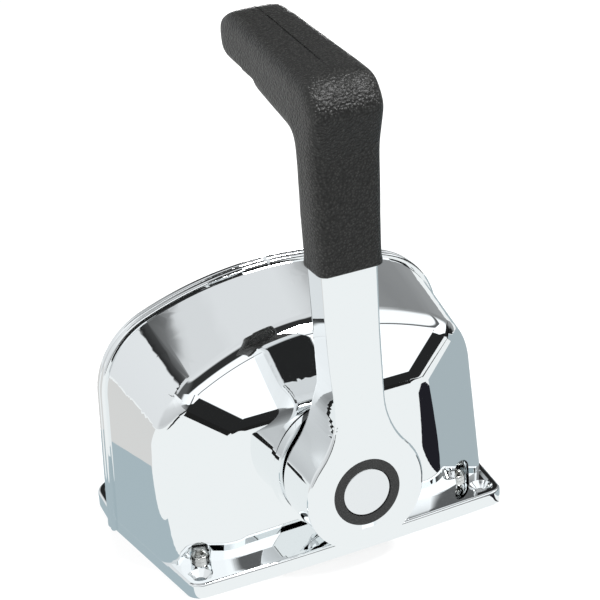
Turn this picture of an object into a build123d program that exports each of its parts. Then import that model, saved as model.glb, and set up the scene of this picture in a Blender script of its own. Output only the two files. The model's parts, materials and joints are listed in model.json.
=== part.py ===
from build123d import *
from math import acos, atan2, cos, pi, radians, sin, sqrt, tan
import os

# Top-mount boat throttle and shift control with one side lever.
# Origin: underside of the base, middle of the four mounting holes. +X fore and aft, -Y the lever side, +Z up.

# Mounting
hole_spacing_x = 162.0
hole_spacing_y = 100.0
hole_radius = 3.25
countersink_radius = 6.4

# Outline of the two cast covers
wall = 3.5
joint_y = 26.0                # plane where the two covers meet
front_edge_y = -62.5
front_bow = 2.0               # how far the front edge bulges in plan
flange_height = 8.0
rim_width = 3.6
rim_depth = 1.6
corner_radius = 8.0
joint_half_width = 100.0
joint_height = 129.5
joint_crown_radius = 190.0
joint_shoulder = 42.0
front_half_width = 88.5
front_height = 101.5
front_crown_radius = 235.0
front_shoulder = 30.0
side_lean = 0.045             # how much the sides lean in, per mm of height
edge_radius = 4.0
wing_edge_radius = 13.0       # soft edges down both sides of the middle face
brow_foot_radius = 7.0
bead_width = 4.0
bead_proud = 1.4
joint_gap = 0.1
back_edge_radius = 8.0
plain_shoulder_y = -15.0      # behind this the front cover's shoulders are plain, with no edge to round

# Front planes of the front cover
face_y = -45.1                # middle face at the flange
face_lean = 0.038
wing_x = 59.6                 # where the wings start, at the flange
wing_sweep = 0.333
wing_lean = 0.077
brow_z = 77.0                 # foot of the upper facet
brow_lean = 0.52

# Rear cover
rear_edge_y = 62.5
rear_y = 54.0
rear_half_width = 90.0
rear_height = 110.0
rear_lug_radius = 14.0
rear_foot_half_width = 97.5

# Base plate and cover screws
plate_margin = 2.5
plate_gap = 0.2
flange_edge_radius = 1.5
screw_radius = 2.5
screw_x = 74.5
screw_y = -35.5
rear_screw_x = 68.0
rear_screw_y = 51.5
pocket_radius = 6.8
pocket_height = 6.0
pocket_boss_top = 24.0
boss_wall = 2.5
shank_slack = 0.3
cover_screw_head = 4.6
cover_screw_height = 2.8
screw_end_gap = 0.6
notch_half_width = 1.6
notch_sink = 0.6

# Lever
pivot_z = 44.0
hub_radius = 32.0
hub_front_y = -79.5
hub_back_y = -49.5
collar_radius = 34.6
collar_front_y = -47.6
arm_half_width = 13.2
arm_front_y = -76.5
arm_back_y = -62.0
arm_flare_z = 118.0
neck_run = 10.0               # how much lower the front of the neck ends than its back
hub_shoulder = 4.0            # straight run above the hub on the front side
flare_radius = 46.0
hub_edge_radius = 2.2

# Grip
grip_foot_z = 166.5
grip_front_y = -80.0
grip_front_rake = 1.5         # how far the front leans out up to the knee
grip_back_y = -58.5
knee_foot_z = 222.0
knee_y = -87.5
knee_z = 244.0
crown_y = -79.0
crown_z = 257.2
head_top_y = 12.0
head_top_z = 269.6
head_tip_y = 25.0
head_tip_top_z = 263.0
head_tip_foot_z = 245.5
head_foot_y = 19.0
head_foot_z = 241.4
head_step_y = -15.3
head_step_z = 237.4
head_step_drop = 1.1
throat_z = 228.3
knee_foot_radius = 40.0
knee_radius = 9.0
crown_radius = 12.0
head_top_radius = 11.0
head_tip_radius = 4.0
throat_radius = 5.0
grip_half_width_foot = 15.4
grip_half_width_knee = 17.2
grip_half_width_tip = 15.0
grip_edge_radius = 4.5
tang_half_width = 8.0
tang_half_depth = 4.5
tang_top_z = 236.0
socket_gap = 0.1
tang_y = -69.0
grip_foot_radius = 1.0
grip_screw_z = 192.0
grip_screw_radius = 2.0
grip_screw_head = 3.4
grip_screw_sink = 3.0
grip_screw_length = 9.0
grip_screw_height = 2.4
gate_z = 214.0
gate_radius = 0.9
gate_sink = 1.3

# Button in the hub
bezel_radius = 17.9
bezel_inner_radius = 13.0
button_radius = 12.7
bezel_depth = 3.0
bezel_proud = 0.3
button_proud = 0.4
button_crown_radius = 160.0
skirt_y = -76.3
skirt_thickness = 1.5
button_slack = 0.4
button_edge_radius = 0.5
spring_gap = 0.15
button_spring_radius = 9.5
button_spring_wire = 0.7
spring_turns = 4
slot_half_width = 4.0
slot_depth = 1.6
slot_reach = 2.4
well_radius = 13.6
well_depth = 17.0

# Shaft and bearings
shaft_radius = 9.0
shaft_front_y = -58.0
shaft_back_y = 24.0
groove_radius = 8.4
clip_y = 20.6
clip_thickness = 1.2
bolt_radius = 4.0
bolt_length = 22.0
bolt_head_radius = 6.5
bolt_head_height = 4.5
washer_front_y = -64.5
key_half_width = 2.5
key_foot = 6.0
key_top = 11.5
key_front_y = -57.0
key_back_y = -50.0
key_end_gap = 0.5
fit_gap = 0.05
bush_wall = 2.5
bush_flange = 2.5
bush_flange_thickness = 2.0

bush_outer = shaft_radius + bush_wall
seal_radius = 15.0
seal_back_y = -43.5
boss_back_y = -37.5

# Mechanism
plate_thickness = 3.0
frame_thickness = 4.0
frame_cheek_z = 30.0
window_foot_half = 26.0
window_top_half = 20.0
window_foot_z = 12.0
window_top_z = 26.0
frame_front_y = -36.0
frame_rear_y = 16.0
frame_half_width = 62.0
gear_module = 1.5
drive_teeth = 24
shift_teeth = 36
gear_face = 8.0
gear_y = -26.0
backlash = 0.25
shift_pivot_x = -40.0
arm_reach = 36.0
arm_end_radius = 6.0
throttle_hub_radius = 13.0
shift_hub_radius = 11.0
gear_boss_radius = 9.0
lever_thickness = 5.0
throttle_y = 2.0
shift_arm_y = -12.0
throttle_arm_angle = 50.0
shift_pivot_z = pivot_z + sqrt((gear_module * (drive_teeth + shift_teeth) / 2) ** 2 - shift_pivot_x ** 2)
frame_top_z = 78.0
frame_top_half_width = 52.0
rail_inner_x = 46.0
frame_screw_x = 54.0
frame_screw_inset = (14.0, 8.0)
frame_screw_head = 4.2
frame_screw_height = 2.6
cable_way_x = (-42.0, 12.0)
cable_way_y = (-26.0, 12.0)
conduit_radius = 4.0
anchor_height = 8.0
anchor_half_width = 7.0
anchor_corner_radius = 2.0
throttle_anchor_x = 30.0
detent_y = -15.0
detent_thickness = 6.0
detent_radius = 20.0
bracket_x = 30.0
bracket_length = 22.0
bracket_half_height = 7.0
detent_notch_radius = 2.2
detent_notch_rise = 1.2
detent_notch_angle = 30
detent_spring_radius = 2.4
detent_spring_wire = 0.5
plunger_radius = 3.5
plunger_length = 20.0
plunger_gap = 0.3
plunger_tip_x = detent_radius + plunger_gap
plunger_back_x = plunger_tip_x + plunger_length
plug_x = 47.0
spacer_radius = 11.5
front_spacer_gap = 1.5
cam_y = 8.0
cam_thickness = 5.0
cam_radius = 16.5
cam_slot_half_width = 3.0
cam_slot_depth = 1.5
switch_z = 62.5
switch_half_width = 10.0
switch_height = 12.0
switch_corner_radius = 0.8
switch_button_radius = 1.4
terminal_pitch = 6.0
terminal_half_width = 1.2
terminal_thickness = 0.6
terminal_length = 5.0
throttle_stud_length = 8.0
pin_groove_radius = 3.5
pin_clip_y = 20.3
stud_radius = 3.0
stud_length = 12.0
pin_radius = 4.0
pin_head_step = 2.0
pin_head_thickness = 1.6
pin_end = 2.5
pin_spacer_radius = 6.5
clip_rim = 3.0
pin_clip_rim = 2.5
pin_clip_thickness = 1.0
side_gap = 0.3

past = 1.0                    # cutters run this far past the face that they open
far_past = 20.0

os.makedirs("parts", exist_ok=True)


def save(name, *solids):
    """Write one named piece, or one group of alike pieces, as a STEP file."""
    bodies = [body for item in solids for body in item.solids()]
    shape = bodies[0] if len(bodies) == 1 else Compound(bodies)
    shape.label = name
    export_step(shape, f"parts/{name}.step")
    return shape


def across(y):
    """Plane at y, looking from the lever side: its x is +X and its y is +Z."""
    return Plane(origin=(0, y, 0), x_dir=(1, 0, 0), z_dir=(0, -1, 0))


def disc(x, z, radius, y_from, y_to):
    """Round bar along Y."""
    return Pos(x, 0, z) * Solid.make_cylinder(radius, y_to - y_from, Plane(origin=(0, y_from, 0), z_dir=(0, 1, 0)))


def ring(x, z, outer, inner, y_from, y_to):
    """Round tube along Y."""
    return disc(x, z, outer, y_from, y_to) - disc(x, z, inner, y_from - 1, y_to + 1)


def post(x, y, radius, z_from, z_to):
    """Round bar along Z."""
    return Pos(x, y, z_from) * Cylinder(radius, z_to - z_from, align=(Align.CENTER, Align.CENTER, Align.MIN))


def block(x_from, x_to, y_from, y_to, z_from, z_to):
    """Box from its two corners."""
    return Pos(x_from, y_from, z_from) * Box(x_to - x_from, y_to - y_from, z_to - z_from, align=(Align.MIN,) * 3)


def arch(y, half_width, height, crown_radius, shoulder, foot=0.0):
    """D-shaped section of a cover: leaning sides, round shoulders and a gently crowned top."""
    top_half = half_width - side_lean * height
    foot_half = half_width - side_lean * foot
    sides = Polygon((-foot_half, foot), (foot_half, foot), (top_half, height), (-top_half, height), align=None)
    crown = Pos(0, height - crown_radius) * Circle(crown_radius)
    section = sides & crown
    shoulders = section.vertices().sort_by(Axis.Y)[-2:]
    return across(y) * fillet(shoulders, shoulder)


def between(a, b, share):
    """Value that lies this share of the way from a to b."""
    return a + (b - a) * share


def beyond(origin, normal, reach=400.0):
    """Large block on the outer side of a plane, for cutting."""
    outer_side = Box(reach, reach, reach, align=(Align.CENTER, Align.CENTER, Align.MIN))
    return Plane(origin=origin, z_dir=normal) * outer_side


def at_front(y, half_width_step=0.0, height_step=0.0):
    """Values of the front cover's section at any y, from its two end sections."""
    share = (joint_y - y) / (joint_y - front_edge_y)
    return (between(joint_half_width, front_half_width, share) - half_width_step,
            between(joint_height, front_height, share) - height_step,
            between(joint_crown_radius, front_crown_radius, share), between(joint_shoulder, front_shoulder, share))


def front_planes(inset):
    """Cutting blocks for the middle face, the two wings and the upper facet, moved in by inset."""
    brow_y = face_y + face_lean * (brow_z - flange_height)
    cuts = [beyond((0, face_y + inset, flange_height), (0, -1, face_lean))]
    for side in (-1, 1):
        cuts.append(beyond((side * wing_x, face_y + inset, flange_height), (side * wing_sweep, -1, wing_lean)))
    cuts.append(beyond((0, brow_y + inset, brow_z), (0, -1, brow_lean)))
    return cuts


def front_form(inset):
    """Faceted arch of the front cover, solid; inset makes the form of its hollow."""
    foot = -far_past if inset else 0.0
    y_start = joint_y + (far_past / 2 if inset else -joint_gap / 2)
    y_end = front_edge_y
    form = loft([arch(y_start, *at_front(y_start, inset, inset), foot=foot),
                 arch(y_end, *at_front(y_end, inset, inset), foot=foot)], ruled=True)
    for cut in front_planes(inset):
        form -= cut
    return form


def facet_edges(form):
    """Straight edges between the front planes: those of the wings, and the one under the upper facet."""
    lines = [edge for edge in form.edges().filter_by(GeomType.LINE)
             if edge.center().Y < plain_shoulder_y and edge.center().Z > joint_gap
             and abs(edge.center().X) < screw_x]
    foot = [edge for edge in lines if abs(edge.center().X) < past]
    return [edge for edge in lines if edge not in foot], foot


def rim_edges(form, sides):
    """Edges where the front planes and their roundings meet the cover's sides."""
    picked = []
    for edge in form.edges():
        middle = edge.position_at(0.5)
        if middle.Y < plain_shoulder_y and middle.Z > joint_gap and edge.center().Y < plain_shoulder_y:
            if min(face.distance_to(middle) for face in sides) < joint_gap / 4:
                picked.append(edge)
    return picked


def rounded_front(sides):
    """The front form with its facets' edges softly rounded, and a tighter rounding along the rim."""
    form = front_form(0)
    wing_edges, _ = facet_edges(form)
    form = fillet(wing_edges, wing_edge_radius)
    _, foot_edges = facet_edges(form)
    form = fillet(foot_edges, brow_foot_radius)
    outer = [face for face in sides.faces() if face.center().Z > joint_gap
             and front_edge_y + past < face.center().Y < joint_y - past]
    return fillet(rim_edges(form, outer), edge_radius)


def front_foot(inset=0.0):
    """Plan of the front cover's foot, with its bowed front edge and rounded corners."""
    bow_radius = front_half_width ** 2 / (2 * front_bow)
    plan = Polygon((-joint_half_width, joint_y), (-front_half_width, front_edge_y),
                   (front_half_width, front_edge_y), (joint_half_width, joint_y), align=None)
    plan &= Pos(0, front_edge_y + bow_radius) * Circle(bow_radius)
    plan = fillet(plan.vertices().sort_by(Axis.Y)[:2], corner_radius)
    return offset(plan, amount=-inset) if inset else plan


def rear_foot(inset=0.0):
    """Plan of the rear cover's foot, with its two round lugs."""
    plan = Polygon((-joint_half_width, joint_y), (joint_half_width, joint_y),
                   (rear_foot_half_width, rear_edge_y), (-rear_foot_half_width, rear_edge_y), align=None)
    plan = fillet(plan.vertices().sort_by(Axis.Y)[-2:], rear_lug_radius)
    return offset(plan, amount=-inset) if inset else plan


def upright(plan, z_from, z_to):
    """Plan drawn on the floor, raised between two heights."""
    return Pos(0, 0, z_from) * extrude(plan, amount=z_to - z_from, dir=(0, 0, 1))


def plate_plan(grow=0.0):
    """Plan of the base plate that sits in the rebate under both covers."""
    half_front = front_half_width - plate_margin
    half_joint = joint_half_width - plate_margin
    half_rear = rear_foot_half_width - plate_margin
    front_y = front_edge_y + plate_margin + front_bow
    rear_plate_y = rear_edge_y - plate_margin
    plan = Polygon((-half_front, front_y), (half_front, front_y), (half_joint, joint_y), (half_rear, rear_plate_y),
                   (-half_rear, rear_plate_y), (-half_joint, joint_y), align=None)
    corners = plan.vertices().sort_by(Axis.Y)
    plan = fillet(corners[:2] + corners[-2:], rear_lug_radius - plate_margin)
    return offset(plan, amount=grow) if grow else plan


def countersunk(x, y):
    """Cutter for one mounting hole with its countersink."""
    depth = countersink_radius - hole_radius
    floor = flange_height - rim_depth
    sink = Cone(hole_radius, countersink_radius, depth, align=(Align.CENTER, Align.CENTER, Align.MIN))
    return post(x, y, hole_radius, -past, floor + past) + Pos(x, y, floor - depth) * sink


def screw_pocket(x, y):
    """Cutter for the scalloped pocket over one cover screw, and the hole for its shank."""
    floor = flange_height - rim_depth
    dome = Pos(x, y, floor + pocket_height) * Sphere(pocket_radius)
    shank_hole = post(x, y, screw_radius + shank_slack, -past, floor + past)
    return post(x, y, pocket_radius, floor, floor + pocket_height) + dome + shank_hole


def bead(y_from, y_to, form_at):
    """Raised bead round a cover's edge at the joint."""
    half_width, height, crown, shoulder = form_at
    outer = extrude(arch(y_to, half_width + bead_proud, height + bead_proud, crown, shoulder + bead_proud),
                    amount=y_to - y_from, dir=(0, -1, 0))
    inner = extrude(arch(y_to + past, half_width - wall / 2, height - wall / 2, crown, shoulder, foot=-far_past),
                    amount=y_to - y_from + 2 * past, dir=(0, -1, 0))
    middle_y = (y_from + y_to) / 2
    rims = [edge for edge in outer.edges() if edge.center().Z > wall / 2
            and abs(edge.center().Y - middle_y) > bead_width / 4]
    return fillet(rims, bead_proud * 0.9) - inner


def neutral_notch():
    """V-shaped cutter that marks neutral across the bead."""
    top = joint_height + bead_proud
    vee = Polygon((-notch_half_width, top), (notch_half_width, top), (0, joint_height - notch_sink), align=None)
    return extrude(across(joint_y + bead_width + past) * vee, amount=2 * (bead_width + past), dir=(0, -1, 0))


def top_rim(flange, joint_face):
    """Upper edges of a flange, without the one at the joint."""
    return [edge for edge in flange.edges() if abs(edge.center().Z - flange_height) < joint_gap
            and abs(edge.center().Y - joint_face) > joint_gap]


def front_cover():
    joint_face = joint_y - joint_gap / 2
    sides = loft([arch(joint_face, *at_front(joint_face)), arch(front_edge_y, *at_front(front_edge_y))], ruled=True)
    form = rounded_front(sides)
    flange = sides & upright(front_foot(), 0, flange_height)
    flange = fillet(top_rim(flange, joint_face), flange_edge_radius)
    tray = upright(front_foot(rim_width), flange_height - rim_depth, flange_height + past)
    cover = form + (flange - tray)
    cover += bead(joint_face - bead_width, joint_face, at_front(joint_face))
    hollow = front_form(wall)
    cover -= hollow
    for x in (-screw_x, screw_x):
        cover += post(x, screw_y, pocket_radius + boss_wall, 0, pocket_boss_top) & form
    cover += disc(0, pivot_z, collar_radius, collar_front_y, face_y + wall / 2)
    cover += disc(0, pivot_z, bush_outer + boss_wall, face_y + wall / 2, boss_back_y)
    cover -= disc(0, pivot_z, bush_outer, collar_front_y - past, boss_back_y + past)
    cover -= disc(0, pivot_z, seal_radius, collar_front_y - past, seal_back_y)
    for side in (-1, 1):
        cover -= screw_pocket(side * screw_x, screw_y)
        cover -= countersunk(side * hole_spacing_x / 2, -hole_spacing_y / 2)
    cover -= upright(plate_plan(plate_gap), -past, plate_thickness + plate_gap)
    return cover - neutral_notch()


def rear_section(y, inset=0.0, foot=0.0):
    """Section of the rear cover at any y behind the joint."""
    share = (y - joint_y) / (rear_y - joint_y)
    half_width = between(joint_half_width, rear_half_width, share) - inset
    height = between(joint_height, rear_height, share) - inset
    return arch(y, half_width, height, joint_crown_radius, joint_shoulder - inset, foot=foot)


def rear_cover():
    joint_face = joint_y + joint_gap / 2
    form = loft([rear_section(joint_face), rear_section(rear_y)], ruled=True)
    back_edges = [edge for edge in form.edges() if abs(edge.center().Y - rear_y) < joint_gap
                  and edge.center().Z > wall]
    form = fillet(back_edges, back_edge_radius)
    flange = upright(rear_foot(), 0, flange_height) - beyond((0, joint_face, 0), (0, -1, 0))
    flange = fillet(top_rim(flange, joint_face), flange_edge_radius)
    tray = upright(rear_foot(rim_width), flange_height - rim_depth, flange_height + past)
    tray -= beyond((0, joint_y + rim_width, 0), (0, -1, 0))
    cover = form + (flange - tray)
    joint_form = (joint_half_width, joint_height, joint_crown_radius, joint_shoulder)
    cover += bead(joint_face, joint_face + bead_width, joint_form)
    cover -= loft([rear_section(joint_y - past, wall, -far_past),
                   rear_section(rear_y - wall, wall, -far_past)], ruled=True)
    for x in (-rear_screw_x, rear_screw_x):
        cover += post(x, rear_screw_y, pocket_radius + boss_wall, 0, pocket_boss_top) & form
    for side in (-1, 1):
        cover -= screw_pocket(side * rear_screw_x, rear_screw_y)
        cover -= countersunk(side * hole_spacing_x / 2, hole_spacing_y / 2)
    cover -= upright(plate_plan(plate_gap), -past, plate_thickness + plate_gap)
    return cover - neutral_notch()


def anchor_places():
    """Where the shift cable and the throttle cable come up through the base plate."""
    return [(shift_pivot_x - arm_reach, shift_arm_y + lever_thickness + stud_length / 2),
            (throttle_anchor_x, throttle_y - throttle_stud_length / 2)]


def screw_places():
    return [(-screw_x, screw_y), (screw_x, screw_y), (-rear_screw_x, rear_screw_y), (rear_screw_x, rear_screw_y)]


def socket_screw(head_radius, head_height, shank_radius, shank_length):
    """Screw standing on Z, its head above z = 0 with a hexagon socket."""
    head = post(0, 0, head_radius, 0, head_height)
    head = fillet(head.edges().sort_by(Axis.Z)[-1:], head_height * 0.3)
    socket = Pos(0, 0, head_height * 0.45) * extrude(RegularPolygon(head_radius * 0.5, 6), amount=head_height)
    return head + post(0, 0, shank_radius, -shank_length, 0) - socket


def base_plate():
    plate = upright(plate_plan(), 0, plate_thickness)
    plate -= block(*cable_way_x, *cable_way_y, -past, plate_thickness + past)
    for x in (-hole_spacing_x / 2, hole_spacing_x / 2):
        for y in (-hole_spacing_y / 2, hole_spacing_y / 2):
            plate -= post(x, y, hole_radius, -past, plate_thickness + past)
    for x, y in screw_places() + frame_screw_places():
        plate -= post(x, y, screw_radius + fit_gap, -past, plate_thickness + past)
    for x, y in anchor_places():
        plate -= post(x, y, conduit_radius, -past, plate_thickness + past)
    return plate


def frame_screw_places():
    front_inset, rear_inset = frame_screw_inset
    rows = (frame_front_y + front_inset, frame_rear_y - rear_inset)
    return [(side * frame_screw_x, y) for side in (-1, 1) for y in rows]


def mechanism_frame():
    """Two bearing plates joined by a foot rail along each side."""
    outline = Polygon((-frame_half_width, plate_thickness), (frame_half_width, plate_thickness),
                      (frame_half_width, frame_cheek_z), (frame_top_half_width, frame_top_z),
                      (-frame_top_half_width, frame_top_z), (-frame_half_width, frame_cheek_z), align=None)
    window = Polygon((-window_foot_half, window_foot_z), (window_foot_half, window_foot_z),
                     (window_top_half, window_top_z), (-window_top_half, window_top_z), align=None)
    rail_top = plate_thickness + frame_thickness
    frame = None
    for y in (frame_front_y, frame_rear_y):
        plate = extrude(across(y + frame_thickness) * (outline - window), amount=frame_thickness, dir=(0, -1, 0))
        plate -= disc(0, pivot_z, bush_outer, y - past, y + frame_thickness + past)
        plate -= disc(shift_pivot_x, shift_pivot_z, pin_radius + fit_gap, y - past, y + frame_thickness + past)
        frame = plate if frame is None else frame + plate
    for side in (-1, 1):
        inner, outer = sorted((side * rail_inner_x, side * frame_half_width))
        frame += block(inner, outer, frame_front_y, frame_rear_y + frame_thickness, plate_thickness, rail_top)
    for x, y in frame_screw_places():
        frame -= post(x, y, screw_radius + shank_slack, 0, rail_top + past)
    return frame


def involute(angle):
    return tan(angle) - angle


def gear_outline(teeth, phase):
    """Outline of a spur gear about the origin, with a tooth centred on the phase angle in radians."""
    pressure = radians(20)
    pitch = gear_module * teeth / 2
    base = pitch * cos(pressure)
    root = pitch - 1.25 * gear_module
    tip = pitch + 0.95 * gear_module
    half_pitch_tooth = pi / (2 * teeth) - backlash / (2 * pitch)
    points = []
    for tooth in range(teeth):
        middle = phase + 2 * pi * tooth / teeth
        flank = []
        for radius in (root, max(base, root) + 0.05, pitch, (pitch + tip) / 2, tip):
            angle = acos(min(1.0, base / radius))
            flank.append((radius, half_pitch_tooth + involute(pressure) - involute(angle)))
        flank[0] = (root, flank[1][1])
        points += [(r * cos(middle - h), r * sin(middle - h)) for r, h in flank]
        points += [(r * cos(middle + h), r * sin(middle + h)) for r, h in reversed(flank)]
    return Polygon(*points, align=None)


def gear(x, z, teeth, phase, y_from, y_to):
    return extrude(across(y_to) * Pos(x, z) * gear_outline(teeth, phase), amount=y_to - y_from, dir=(0, -1, 0))


def arm_plate(x, z, hub, tip_radius, angle, y_from, y_to):
    """Flat arm from its hub to a round tip; the angle is from straight up towards +X, in degrees."""
    tip_x, tip_z = arm_tip(x, z, angle)
    outline = make_hull([*(Pos(x, z) * Circle(hub)).edges(), *(Pos(tip_x, tip_z) * Circle(tip_radius)).edges()])
    return extrude(across(y_to) * outline, amount=y_to - y_from, dir=(0, -1, 0))


def arm_tip(x, z, angle):
    return x + arm_reach * sin(radians(angle)), z + arm_reach * cos(radians(angle))


def coil_spring(length, coil_radius, wire_radius):
    """Compression spring standing on Z."""
    height = length - 2 * wire_radius
    path = Helix(pitch=height / spring_turns, height=height, radius=coil_radius)
    start = Plane(origin=path @ 0, z_dir=path % 0)
    return Pos(0, 0, wire_radius) * sweep(start * Circle(wire_radius), path=path)


def lever_side():
    """Side profile of the lever: thick hub, flared neck, slim arm."""
    front_low = (hub_front_y, pivot_z + hub_radius + hub_shoulder)
    front_high = (arm_front_y, arm_flare_z - neck_run)
    back_low = (hub_back_y, pivot_z + hub_radius + hub_shoulder / 2)
    back_high = (arm_back_y, arm_flare_z)
    line = Polyline(front_high, (arm_front_y, grip_foot_z), (arm_back_y, grip_foot_z), back_high)
    line += Spline(back_high, back_low, tangents=[(0, -1), (0, -1)])
    line += Polyline(back_low, (hub_back_y, 0), (hub_front_y, 0), front_low)
    line += Spline(front_low, front_high, tangents=[(0, 1), (0, 1)])
    return Plane.YZ * make_face(line)


def lever_arm():
    outline = Pos(0, pivot_z) * Circle(hub_radius)
    outline += Pos(0, (pivot_z + grip_foot_z) / 2) * Rectangle(2 * arm_half_width, grip_foot_z - pivot_z)
    joints = [vertex for vertex in outline.vertices() if pivot_z + past < vertex.Y < grip_foot_z - past]
    outline = fillet(joints, flare_radius)
    arm = extrude(across(hub_back_y) * outline, amount=hub_back_y - hub_front_y, dir=(0, -1, 0))
    arm &= extrude(lever_side(), amount=2 * hub_radius, both=True)
    arm = fillet(lever_rims(arm), hub_edge_radius)
    arm += block(-tang_half_width, tang_half_width, tang_y - tang_half_depth, tang_y + tang_half_depth,
                 grip_foot_z - past, tang_top_z)
    arm -= disc(0, pivot_z, bezel_radius + fit_gap, hub_front_y - past, hub_front_y + bezel_depth)
    arm -= disc(0, pivot_z, well_radius, hub_front_y - past, hub_front_y + well_depth)
    arm -= disc(0, pivot_z, shaft_radius + fit_gap, shaft_front_y - fit_gap, hub_back_y + past)
    arm -= disc(0, pivot_z, bolt_radius + shank_slack, hub_front_y, hub_back_y)
    arm -= block(-slot_half_width, slot_half_width, hub_front_y - past, hub_front_y + slot_depth,
                 pivot_z - bezel_radius - slot_reach, pivot_z - bezel_radius + past)
    arm -= block(-key_half_width - fit_gap, key_half_width + fit_gap, key_front_y, hub_back_y + past,
                 pivot_z + shaft_radius - past, pivot_z + key_top + fit_gap)
    arm -= disc(0, grip_screw_z, grip_screw_radius + fit_gap, tang_y - tang_half_depth - past,
                tang_y + tang_half_depth + past)
    return arm


def lever_rims(arm):
    """Front and back edges round the lever's outline, without its foot and its end at the grip."""
    picked = []
    for edge in arm.edges():
        middle = edge.center()
        size = edge.bounding_box().size
        through = size.Y > (arm_back_y - arm_front_y) / 2 and size.X < hub_edge_radius and size.Z < past
        crosswise = size.X > arm_half_width / 2 and size.Z < past / 2
        at_end = middle.Z > grip_foot_z - past / 2
        if not (through or crosswise or at_end):
            picked.append(edge)
    return picked


def grip_side():
    """Side profile of the grip: upright handle, round knee and a head that runs back over the housing."""
    corners = [((grip_front_y, grip_foot_z), 0), ((grip_front_y - grip_front_rake, knee_foot_z), knee_foot_radius),
               ((knee_y, knee_z), knee_radius), ((crown_y, crown_z), crown_radius),
               ((head_top_y, head_top_z), head_top_radius), ((head_tip_y, head_tip_top_z), head_tip_radius),
               ((head_tip_y, head_tip_foot_z), throat_radius), ((head_foot_y, head_foot_z), head_tip_radius),
               ((head_step_y, head_step_z), 0),
               ((head_step_y - head_step_drop, head_step_z - head_step_drop), 0),
               ((grip_back_y, throat_z), throat_radius), ((grip_back_y, grip_foot_z), 0)]
    profile = Polygon(*[point for point, _ in corners], align=None)
    for (y, z), radius in corners:
        if radius:
            profile = fillet(profile.vertices().sort_by_distance((y, z, 0))[0], radius)
    return Plane.YZ * profile


def grip_cheek(side):
    """Cutter beyond one side of the grip, through its half widths at foot, knee and tip."""
    foot = Vector(side * grip_half_width_foot, tang_y, grip_foot_z)
    knee = Vector(side * grip_half_width_knee, grip_front_y, knee_z)
    tip = Vector(side * grip_half_width_tip, head_tip_y, head_tip_foot_z)
    normal = (knee - foot).cross(tip - foot)
    return beyond(foot, normal if normal.X * side > 0 else -normal)


def grip():
    body = extrude(grip_side(), amount=2 * grip_half_width_knee, both=True)
    body -= grip_cheek(-1)
    body -= grip_cheek(1)
    long_edges = [edge for edge in body.edges() if abs(edge.center().X) > tang_half_width
                  and edge.center().Z > grip_foot_z + past / 2]
    body = fillet(long_edges, grip_edge_radius)
    foot_edges = [edge for edge in body.edges() if edge.center().Z < grip_foot_z + joint_gap]
    body = fillet(foot_edges, grip_foot_radius)
    reach = tang_half_width + socket_gap
    depth = tang_half_depth + socket_gap
    body -= block(-reach, reach, tang_y - depth, tang_y + depth, grip_foot_z - past, tang_top_z + past)
    body -= disc(0, grip_screw_z, grip_screw_head + shank_slack, grip_back_y - grip_screw_sink, grip_back_y + past)
    body -= disc(0, grip_screw_z, grip_screw_radius + shank_slack, tang_y, grip_back_y)
    body -= disc(0, gate_z, gate_radius, grip_front_y - far_past, grip_front_y - gate_sink)
    return body


def along_y(screw, x, y, z):
    """Screw made on Z, laid along Y with its head towards +Y."""
    return Pos(x, y, z) * Rot(-90, 0, 0) * screw


def lever_shaft():
    shaft = disc(0, pivot_z, shaft_radius, shaft_front_y, shaft_back_y)
    shaft -= disc(0, pivot_z, bolt_radius + fit_gap, shaft_front_y - past, shaft_front_y + bolt_length)
    shaft -= block(-key_half_width - fit_gap, key_half_width + fit_gap, key_front_y, key_back_y,
                   pivot_z + key_foot - fit_gap, pivot_z + shaft_radius + past)
    shaft -= ring(0, pivot_z, shaft_radius + past, groove_radius, clip_y - fit_gap, clip_y + clip_thickness + fit_gap)
    return shaft


def open_clip(x, z, outer, inner, y_from, thickness):
    """Retaining ring with its gap downwards."""
    clip = ring(x, z, outer, inner, y_from, y_from + thickness)
    gap = inner * 0.35
    return clip - block(x - gap, x + gap, y_from - past, y_from + thickness + past, z - outer - past, z)


def hub_bolt():
    """Flanged bolt that holds the lever on its shaft, head towards the button."""
    head = extrude(across(washer_front_y) * Pos(0, pivot_z) * RegularPolygon(bolt_head_radius, 6),
                   amount=bolt_head_height, dir=(0, -1, 0))
    return head + disc(0, pivot_z, bolt_radius, washer_front_y, shaft_front_y + bolt_length - 2)


def warmup_button():
    """Round push button with a shallow crowned face, a retaining skirt and a spring seat."""
    face_at = hub_front_y - button_proud
    body = disc(0, pivot_z, button_radius, face_at, skirt_y + skirt_thickness)
    body &= Pos(0, face_at + button_crown_radius, pivot_z) * Sphere(button_crown_radius)
    body = fillet(body.edges().sort_by(Axis.Y)[0], button_edge_radius)
    return body + disc(0, pivot_z, well_radius - button_slack, skirt_y, skirt_y + skirt_thickness)


def button_spring():
    seat_y = skirt_y + skirt_thickness + spring_gap
    spring = coil_spring(washer_front_y - spring_gap - seat_y, button_spring_radius, button_spring_wire)
    return Pos(0, seat_y, pivot_z) * Rot(-90, 0, 0) * spring


def detent_wheel():
    wheel = ring(0, pivot_z, detent_radius, shaft_radius + fit_gap, detent_y, detent_y + detent_thickness)
    notch = disc(0, 0, detent_notch_radius, detent_y - past, detent_y + detent_thickness + past)
    for angle in (-detent_notch_angle, 0, detent_notch_angle):
        wheel -= Pos(0, 0, pivot_z) * Rot(0, angle, 0) * Pos(detent_radius + detent_notch_rise, 0, 0) * notch
    return wheel


def detent_bracket():
    """Arm from the front bearing plate that guides the detent plunger."""
    y_from = frame_front_y + frame_thickness
    y_to = detent_y + detent_thickness + past
    bracket = block(bracket_x, bracket_x + bracket_length, y_from, y_to,
                    pivot_z - bracket_half_height, pivot_z + bracket_half_height)
    return bracket - along_x(plunger_radius + fit_gap, bracket_x - past, bracket_x + bracket_length + past)


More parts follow.
